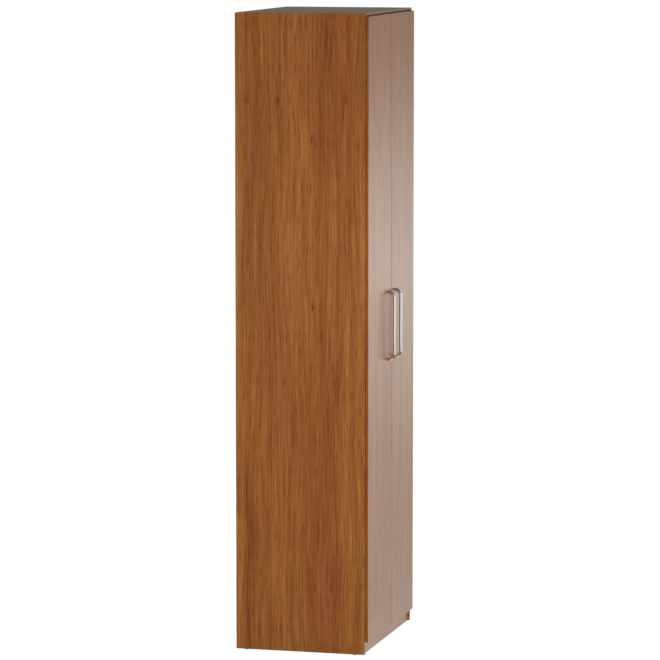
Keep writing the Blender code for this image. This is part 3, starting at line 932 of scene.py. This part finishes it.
def screw(name, radius, height, *stem):
    """A domed head with a cross recess, on the XY plane; stem goes on from its underside."""
    profile = [(radius * out, height * up) for out, up in HEAD_DOME]
    made = turned(name, profile + list(stem) + [(0, stem[-1][1] if stem else 0)])
    reach, narrow, depth = CROSS_REACH * radius, CROSS_NARROW * radius, CROSS_DEPTH * height
    for wide, deep in ((reach, narrow), (narrow, reach)):
        recess = block("recess", (-wide, -deep, height - depth), (wide, deep, 2 * height))
        combine(made, "DIFFERENCE", recess)
    return made


def screwed(thing, head_size, places, turn=UNTURNED):
    """Unite a screw head with a piece at each place."""
    head = screw("head", *head_size)
    for place in places:
        combine(thing, "UNION", copied(head, "screw", place, turn))
    bpy.data.objects.remove(head)


for side in SIDES:
    for end in ENDS:
        cad = f"{side}_handle_screw_{end}"
        low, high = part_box(cad)
        seat = high.y - HANDLE_SCREW_HEAD[1]
        length = seat - low.y
        stem = [(SCREW_RADIUS, 0), (SCREW_RADIUS, HANDLE_SCREW_TIP - length), (SCREW_RADIUS / 2, -length)]
        bolt = screw(f"{side}_handle_bolt_{end}", *HANDLE_SCREW_HEAD, *stem)
        middle = box_middle(cad)
        smoothed(moved(bolt, (middle.x, seat, middle.z), OUT_Y))
        dress(bolt, nickel_plate, f"{side}_leaf", "nickel_plate", cad)
print("handle screws:", round(length, 4), "m under the head")

# %% [markdown]
# A concealed hinge has four pieces: a cup in the door, a link, an arm and a plate on the side board.
# Each pattern is made for the left door about its own pivot, with +X into the wardrobe, and copies go
# to the hinges' heights in the frame. Half a turn about Y makes the right hand of them.

# %% Places of the hinges
HANDS = {"left": UNTURNED, "right": (0, math.pi, 0)}
PIVOTS = {joint["name"]: Vector(joint["pos_m"]) for joint in frame["joints"]}


def hang(pattern, stem, part, body, joint):
    """Copies of a hinge pattern for every hinge of both doors."""
    for side in SIDES:
        for number in HINGES:
            cad = f"{side}_hinge_{part}_{number}"
            pivot = PIVOTS[f"{side}_{joint}"]
            place = (pivot.x, pivot.y, box_middle(cad).z)
            made = copied(pattern, f"{side}_{stem}_{number}", place, HANDS[side])
            dress(smoothed(made), nickel_plate, body.format(side=side), "nickel_plate", cad)
    print(stem, len(pattern.data.polygons), "faces each")
    bpy.data.objects.remove(pattern)


print("pivots:", PIVOTS)

# %% [markdown]
# The hinge cups are pressed: a round pot with a soft lower edge, a flange with rounded corners and two
# screws, and two lugs for the link's pin. The pot and its hollow are turned, because a profile shows
# the soft edge and the rim at once.

# %% Hinge cups
CUP_CENTRE = 0.0108
CUP_FLOOR = -0.0062
CUP_RIM = 0.0018
CUP_WALL = 0.001
CUP_SOFT = 0.0012
CUP_LIP = 0.0002
ARC_MIDDLE = 0.3  # of a soft edge's radius, from either face to the middle of the arc
FLANGE_FOOT = 0.0016
FLANGE_TOP = 0.0024
FLANGE_PLATE = (0.009, 0.026, 0.006)  # half width, half length, corner
CUP_SCREWS = (0.003, 0.0011)  # radius, height
CUP_SCREW_OUT = 0.0225
LUG_NEAR = 0.0048
LUG_LENGTH = 0.0032
LUG_HALF = 0.0025
LUG_TOP = 0.002
LUG_STEPS = 8
PIN_HOLE = 0.0015
PIN_SIDES = 16
CUT_REACH = 0.01  # how far a small cutter runs out of its piece


def round_pot(name, radius, floor, top, lip):
    """A round pot, or what fills it, with a soft lower edge, along Y from its middle."""
    soft = ARC_MIDDLE * CUP_SOFT
    profile = [(0, floor), (radius - CUP_SOFT, floor), (radius - soft, floor + soft)]
    profile += [(radius, floor + CUP_SOFT), (radius, top - lip), (radius - lip, top), (0, top)]
    return moved(turned(name, profile, CUP_SIDES), (CUP_CENTRE, 0, 0), OUT_Y)


def lug_outline(z):
    """An arch that stands on the cup's floor and goes round the pivot."""
    foot = CUP_FLOOR + CUP_WALL / 2
    arch = [(-LUG_HALF, foot, z)]
    for step in range(LUG_STEPS + 1):
        angle = math.pi * step / LUG_STEPS
        arch.append((-LUG_HALF * math.cos(angle), LUG_TOP * math.sin(angle), z))
    return arch + [(LUG_HALF, foot, z)]


def cup_pattern():
    """A hinge cup about its pivot."""
    cup = round_pot("cup", CUP_RADIUS, CUP_FLOOR, CUP_RIM, CUP_LIP)
    outline = [(CUP_CENTRE + x, FLANGE_FOOT, z) for x, z in rounded(*FLANGE_PLATE)]
    flange = ease(pressed("flange", outline, (0, FLANGE_TOP - FLANGE_FOOT, 0)), CUP_LIP)
    combine(cup, "UNION", flange)
    hollow = round_pot("hollow", CUP_RADIUS - CUP_WALL, CUP_FLOOR + CUP_WALL, CUP_RIM + CUT_REACH, CUP_LIP)
    combine(cup, "DIFFERENCE", hollow)
    places = [(CUP_CENTRE, FLANGE_TOP - SINK, way * CUP_SCREW_OUT) for way in (-1, 1)]
    screwed(cup, CUP_SCREWS, places, OUT_Y)
    for start in (-LUG_NEAR - LUG_LENGTH, LUG_NEAR):
        combine(cup, "UNION", pressed("lug", lug_outline(start), (0, 0, LUG_LENGTH)))
    past_lugs = LUG_NEAR + LUG_LENGTH + CUP_WALL
    combine(cup, "DIFFERENCE", rod("pin_hole", (0, 0, -past_lugs), (0, 0, past_lugs), PIN_HOLE, PIN_SIDES))
    return cup


hang(cup_pattern(), "pressed_cup", "cup", "{side}_leaf", "door_swing")

# %% [markdown]
# An arm is a cranked bar with a forked nose, and its two setting screws sit in a trough. It could be
# bent from a straight bar, but an outline shows the crank at once, so it is pressed.

# %% Hinge arms
ARM_HALF = 0.0065
ARM_NOSE = 0.0026
ARM_FRONT = 0.004
ARM_END = 0.066
ARM_FOOT = -0.0165
ARM_TOP = -0.008
ARM_CRANKS = (0.020, 0.028)
ARM_SOFT = 0.0005
NOSE_STEPS = 16
FORK_HALF = 0.0048
FORK_REACH = 0.006
TROUGH = (0.012, 0.0036, 0.0035)  # half width, half length, corner
TROUGH_PLACE = 0.0485
TROUGH_FLOOR = -0.0005
ARM_SCREWS = (0.0030, 0.0014)
ARM_SCREW_PLACES = (0.0425, 0.0545)


def arm_pattern():
    """A hinge arm about the pivot in its nose."""
    outline = [
        (-ARM_NOSE, ARM_FRONT + ARM_NOSE),
        (ARM_FOOT, ARM_CRANKS[0]),
        (ARM_FOOT, ARM_END),
        (ARM_TOP, ARM_END),
        (ARM_TOP + ARM_NOSE, ARM_CRANKS[1]),
        (ARM_NOSE, ARM_FRONT + ARM_NOSE),
    ]
    for step in range(NOSE_STEPS + 1):
        angle = -math.pi * step / NOSE_STEPS
        outline.append((ARM_NOSE * math.cos(angle), ARM_NOSE * math.sin(angle)))
    arm = pressed("arm", [(x, y, -ARM_HALF) for x, y in outline], (0, 0, 2 * ARM_HALF))
    ease(arm, ARM_SOFT)
    fork = block("fork", (-FORK_REACH, -FORK_REACH, -FORK_HALF), (FORK_REACH, ARM_NOSE, FORK_HALF))
    pin_hole = rod("pin_hole", (0, 0, -CUT_REACH), (0, 0, CUT_REACH), PIN_HOLE, PIN_SIDES)
    trough_low = ARM_TOP + TROUGH_FLOOR
    trough = [(trough_low, TROUGH_PLACE + y, z) for y, z in rounded(*TROUGH)]
    combine(arm, "DIFFERENCE", fork, pin_hole, pressed("trough", trough, (CUT_REACH, 0, 0)))
    screwed(arm, ARM_SCREWS, [(trough_low - SINK, y, 0) for y in ARM_SCREW_PLACES], OUT_X)
    return arm


hang(arm_pattern(), "cranked_arm", "arm", "carcass", "link_pivot")

# %% [markdown]
# The link between the arm's nose and the cup is a flat bar with a boss and a pin at each end. The
# joints of the frame give both pivots, so the bar runs from the one to the other.

# %% Hinge links
LINK_HALF = 0.0045
LINK_THICK = 0.002
LINK_SOFT = LINK_THICK / 6
LINK_BOSS = 0.0019
LINK_PIN = 0.0012
ARM_PIN_REACH = 0.0062
CUP_PIN_REACH = 0.0077


def link_pattern():
    """A hinge link about its pivot on the arm."""
    far = PIVOTS["left_door_swing"] - PIVOTS["left_link_pivot"]
    far.z = 0
    side_step = far.normalized().cross(Vector((0, 0, 1))) * LINK_THICK / 2
    half = Vector((0, 0, LINK_HALF))
    outline = [side_step - half, far + side_step - half, far - side_step - half, -side_step - half]
    link = ease(pressed("link", outline, 2 * half), LINK_SOFT)
    for place, reach in ((Vector(), ARM_PIN_REACH), (far, CUP_PIN_REACH)):
        for radius, length in ((LINK_BOSS, LINK_HALF - SINK), (LINK_PIN, reach)):
            up = Vector((0, 0, length))
            combine(link, "UNION", rod("pin", place - up, place + up, radius))
    return link


hang(link_pattern(), "flat_link", "link", "{side}_links", "link_pivot")

# %% [markdown]
# The arms sit on cross-shaped plates: a rib under the arm, and two rounded wings with a screw each.
# One outline of the cross would do, but rib and wings differ in thickness, so two are united.

# %% Hinge plates
PLATE_FACE = -0.0197
PLATE_THICK = 0.0029
WING_THICK = 0.0022
PLATE_LINE = 0.041
RIB = (0.019, 0.0062, 0.002)  # half width, half length, corner
WINGS = (0.006, 0.024, 0.0055)
PLATE_SOFT = 0.0003
PLATE_SCREWS = (0.0036, 0.0012)
PLATE_SCREW_OUT = 0.0165


def plate_pattern():
    """A mounting plate about the arm's pivot."""
    rib = [(PLATE_FACE, PLATE_LINE + y, z) for y, z in rounded(*RIB)]
    plate = ease(pressed("plate", rib, (PLATE_THICK, 0, 0)), PLATE_SOFT)
    wings = [(PLATE_FACE + SINK, PLATE_LINE + y, z) for y, z in rounded(*WINGS)]
    combine(plate, "UNION", ease(pressed("wings", wings, (WING_THICK - SINK, 0, 0)), PLATE_SOFT))
    places = [(PLATE_FACE + WING_THICK - SINK, PLATE_LINE, way * PLATE_SCREW_OUT) for way in (-1, 1)]
    screwed(plate, PLATE_SCREWS, places, OUT_X)
    return plate


hang(plate_pattern(), "base_plate", "plate", "carcass", "link_pivot")

# %% [markdown]
# Inside hangs a rail, a thin tube between two holders. A holder is a disc with a collar round the
# rail's end and three screws. Both are turned, and then laid along X.

# %% Rail
RAIL_WALL = 0.0015
RAIL_EDGE = 0.0004

low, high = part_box("hanging_rail")
rail_middle = (low + high) / 2
half = (high.x - low.x) / 2
radius = (high.z - low.z) / 2
ends = [(radius - RAIL_WALL, half), (radius - RAIL_EDGE, half), (radius, half - RAIL_EDGE)]
tube = [(out, -up) for out, up in ends] + ends[::-1] + [(radius - RAIL_WALL, -half)]
rail = moved(turned("rail_tube", tube, CUP_SIDES), rail_middle, OUT_X)
dress(rail, polished_steel, "carcass", "polished_steel", "hanging_rail")
print(rail.name, round(2 * half, 4), "m long")

# %% Rail holders
OUTWARD = {"left": -1, "right": 1}  # the way along X to each side board
HOLDER_PLATE = 0.004
HOLDER_EDGE = 0.0004
HOLDER_BORE = 0.0128
HOLDER_COLLAR = 0.0153
HOLDER_SCREWS = (0.0026, 0.0011)
HOLDER_SCREW_OUT = 0.0192
HOLDER_SCREW_COUNT = 3


def inward(side):
    """The turn that points an upright piece from its side board into the wardrobe."""
    return 0, -OUTWARD[side] * math.pi / 2, 0


def holder_profile(disc, depth):
    """A disc of some radius with a collar, as deep as both together."""
    plate, edge, collar, bore = HOLDER_PLATE, HOLDER_EDGE, HOLDER_COLLAR, HOLDER_BORE
    disc_side = [(0, 0), (disc - edge, 0), (disc, edge), (disc, plate - 2 * edge), (disc - 2 * edge, plate)]
    collar_side = [(collar + edge, plate), (collar, plate + edge), (collar, depth - edge)]
    rim = [(collar - edge, depth), (bore + edge, depth), (bore, depth - edge)]
    return disc_side + collar_side + rim + [(bore, plate), (0, plate)]


for side, sign in OUTWARD.items():
    low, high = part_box(f"{side}_rail_flange")
    profile = holder_profile((high.z - low.z) / 2, high.x - low.x)
    holder = turned(f"{side}_rail_holder", profile, CUP_SIDES)
    places = []
    for number in range(HOLDER_SCREW_COUNT):
        angle = 2 * math.pi * number / HOLDER_SCREW_COUNT
        out = HOLDER_SCREW_OUT * Vector((sign * math.cos(angle), math.sin(angle), 0))
        places.append(out + Vector((0, 0, HOLDER_PLATE - SINK)))
    screwed(holder, HOLDER_SCREWS, places)
    wall = high.x if sign > 0 else low.x
    smoothed(moved(holder, (wall, rail_middle.y, rail_middle.z), inward(side)))
    dress(holder, nickel_plate, "carcass", "nickel_plate", f"{side}_rail_flange")
    print(holder.name, len(holder.data.polygons), "faces")

# %% [markdown]
# Four studs carry the shelf, and four glides keep the side boards off the floor. Both are a round head
# on a pin, so each is one turned profile with its edges broken.

# %% Shelf studs
STUD_HEAD = 0.007
STUD_EDGE = 0.0005
CORNERS = [(side, row) for side in SIDES for row in ROWS]

for side, row in CORNERS:
    cad = f"{side}_{row}_shelf_pin"
    low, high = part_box(cad)
    _, y, z = box_middle(cad)
    outer = (high.z - low.z) / 2
    length = high.x - low.x - STUD_HEAD
    profile = [(0, STUD_HEAD), (outer - STUD_EDGE, STUD_HEAD), (outer, STUD_HEAD - STUD_EDGE)]
    profile += [(outer, STUD_EDGE), (outer - STUD_EDGE, 0), (SHELF_PIN_RADIUS, 0)]
    profile += [(SHELF_PIN_RADIUS, STUD_EDGE - length), (SHELF_PIN_RADIUS - STUD_EDGE, -length)]
    profile += [(0, -length)]
    stud = turned(f"{side}_{row}_shelf_stud", profile)
    face = low.x + STUD_HEAD if OUTWARD[side] > 0 else high.x - STUD_HEAD
    moved(stud, (face, y, z), inward(side))
    dress(stud, nickel_plate, "carcass", "nickel_plate", cad)
print("shelf studs:", round(length, 4), "m in the side boards")

# %% Glides
GLIDE_HEAD = 0.002
GLIDE_EDGE = 0.0006

for side, row in CORNERS:
    cad = f"{side}_{row}_glide"
    low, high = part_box(cad)
    x, y, _ = box_middle(cad)
    outer = (high.x - low.x) / 2
    tall = high.z - low.z
    profile = [(0, 0), (outer - 2 * GLIDE_EDGE, 0), (outer, GLIDE_EDGE)]
    profile += [(outer, GLIDE_HEAD - GLIDE_EDGE), (outer - GLIDE_EDGE, GLIDE_HEAD)]
    profile += [(GLIDE_PIN_RADIUS, GLIDE_HEAD), (GLIDE_PIN_RADIUS, tall - GLIDE_EDGE)]
    profile += [(GLIDE_EDGE, tall), (0, tall)]
    glide = turned(f"{side}_{row}_foot_glide", profile)
    moved(glide, (x, y, low.z))
    dress(glide, dark_plastic, "carcass", "dark_plastic", cad)
print("glides:", round(tall, 4), "m tall")

# %% [markdown]
# The back sheets are nailed on. All the nail heads are one piece: one head is turned, copied along the
# sheets' edges at even steps, and the copies are joined.

# %% Nails in the back
NAIL_RADIUS = 0.0026
NAIL_HEIGHT = 0.0007
NAIL_DOME = ((0, 1), (0.6, 0.85), (1, 0.3), (1, 0), (0, 0))  # of radius and height
NAIL_SIDES = 16
NAIL_STEP = 0.15
NAIL_FROM_EDGE = 0.004


def even_places(first, last, step):
    """Places from first to last at even steps of about the given length."""
    count = round((last - first) / step)
    return [first + (last - first) * number / count for number in range(count + 1)]


nail = turned("nail", [(NAIL_RADIUS * out, NAIL_HEIGHT * up) for out, up in NAIL_DOME], NAIL_SIDES)
nails = []
for part in BACK_PARTS:
    low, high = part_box(f"back_panel_{part}")
    left, right = low.x + NAIL_FROM_EDGE, high.x - NAIL_FROM_EDGE
    foot, top = low.z + NAIL_FROM_EDGE, high.z - NAIL_FROM_EDGE
    places = [(x, z) for x in (left, right) for z in even_places(foot, top, NAIL_STEP)]
    places += [(x, z) for z in (foot, top) for x in even_places(left, right, NAIL_STEP)[1:-1]]
    nails += [copied(nail, "nail", (x, high.y - SINK, z), OUT_Y) for x, z in places]
bpy.data.objects.remove(nail)
clear_selection()
for made in nails:
    made.select_set(True)
bpy.context.view_layer.objects.active = nails[0]
bpy.ops.object.join()
dress(settle("back_nails"), nickel_plate, "carcass", "nickel_plate")
print("nails:", len(nails))

# %% [markdown]
# Last, the view transform is set to Standard, and the box of the dressed wardrobe is found.

# %% Sizes and finish
scene = bpy.context.scene
scene.view_settings.view_transform = "Standard"
bpy.context.view_layer.update()
low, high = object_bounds()
